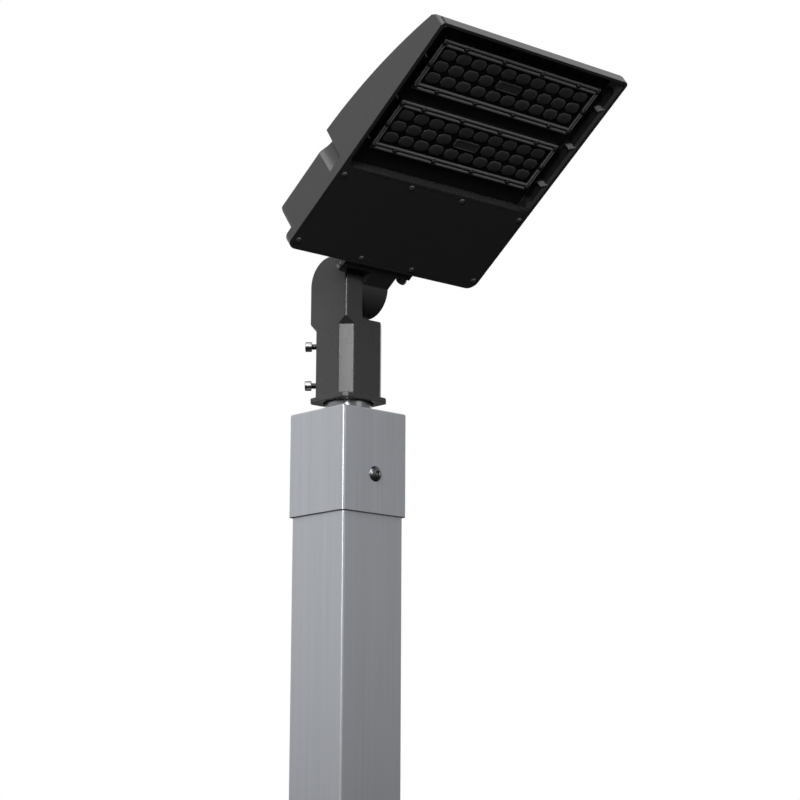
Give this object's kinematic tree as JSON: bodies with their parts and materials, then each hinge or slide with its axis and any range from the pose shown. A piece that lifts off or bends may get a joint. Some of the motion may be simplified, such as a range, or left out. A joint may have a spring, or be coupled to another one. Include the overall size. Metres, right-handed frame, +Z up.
{
  "type": "sports floodlight",
  "caption": "Flat rectangular LED floodlight head with a finned back, on a tilting knuckle slip fitter over the tenon cap of a square pole section.",
  "frame": {"origin": "centre of the pole section at its lower end, where the section is cut", "axes": "+Z up along the pole, the head looks and its light goes towards -Y, +X to the right seen from the front"},
  "size_m": [0.3198, 0.4114, 1.0313],
  "materials": {
    "pole_metal": "satin",
    "tenon_metal": "satin",
    "dark_screw": "satin",
    "bright_screw": "polished",
    "coated_casting": "matte",
    "coated_cover": "matte",
    "black_rubber": "matte",
    "lens_plastic": "gloss",
    "frame_plastic": "satin",
    "board_white": "satin",
    "led_yellow": "satin",
    "plug_ivory": "matte",
    "driver_metal": "satin",
    "driver_cap_plastic": "matte",
    "block_white": "matte",
    "surge_red": "satin",
    "lead_black": "satin",
    "lead_brown": "satin",
    "lead_red": "satin"
  },
  "bodies": {
    "post": {"pole": "pole_metal", "cap_sleeve": "pole_metal", "cap_tenon": "tenon_metal", "cap_screws": "dark_screw", "cap_nuts": "dark_screw"},
    "fitter": {"slip_fitter": "coated_casting", "pivot_bolt": "bright_screw", "pivot_washer": "bright_screw"},
    "head": {"cover_screws": "dark_screw", "frame_screws_rear": "dark_screw", "frame_screws_front": "dark_screw", "bay_screws": "dark_screw", "arm_washers": "bright_screw", "arm_bolts": "bright_screw", "knuckle_arm": "coated_casting", "housing": "coated_casting", "driver_cover": "coated_cover", "arm_gasket": "black_rubber", "cover_gasket": "black_rubber", "lens_seal_rear": "black_rubber", "lens_seal_front": "black_rubber", "rear_grommet": "black_rubber", "duct_grommet": "black_rubber", "lens_plate_rear": "lens_plastic", "lens_plate_front": "lens_plastic", "lens_frame_rear": "frame_plastic", "lens_frame_front": "frame_plastic", "led_board_rear": "board_white", "led_board_front": "board_white", "led_chips_rear": "led_yellow", "led_chips_front": "led_yellow", "board_plug_rear": "plug_ivory", "board_plug_front": "plug_ivory", "driver_case": "driver_metal", "driver_caps": "driver_cap_plastic", "terminal_block": "block_white", "surge_protector": "surge_red", "supply_leads": "lead_black", "driver_leads": "lead_brown", "surge_leads": "lead_brown", "module_leads": "lead_red"},
    "clamp_left_low": {"clamp_screw_left_low": "bright_screw"},
    "clamp_left_high": {"clamp_screw_left_high": "bright_screw"},
    "clamp_right_low": {"clamp_screw_right_low": "bright_screw"},
    "clamp_right_high": {"clamp_screw_right_high": "bright_screw"}
  },
  "joints": [
    {"name": "fitter_swivel", "type": "hinge", "parent": "post", "child": "fitter", "pos_m": [0, 0, 0.67], "axis": [0, 0, 1], "continuous": true},
    {"name": "head_tilt", "type": "hinge", "parent": "fitter", "child": "head", "pos_m": [0, 0, 0.7885], "axis": [-1, 0, 0], "range_deg": [-36.8, 53.2]},
    {"name": "clamp_left_low_turn_out", "type": "slide", "parent": "fitter", "child": "clamp_left_low", "axis": [-0.7071, 0.7071, 0], "range_m": [0, 0.006]},
    {"name": "clamp_left_high_turn_out", "type": "slide", "parent": "fitter", "child": "clamp_left_high", "axis": [-0.7071, 0.7071, 0], "range_m": [0, 0.006]},
    {"name": "clamp_right_low_turn_out", "type": "slide", "parent": "fitter", "child": "clamp_right_low", "axis": [0.7071, 0.7071, 0], "range_m": [0, 0.006]},
    {"name": "clamp_right_high_turn_out", "type": "slide", "parent": "fitter", "child": "clamp_right_high", "axis": [0.7071, 0.7071, 0], "range_m": [0, 0.006]}
  ]
}
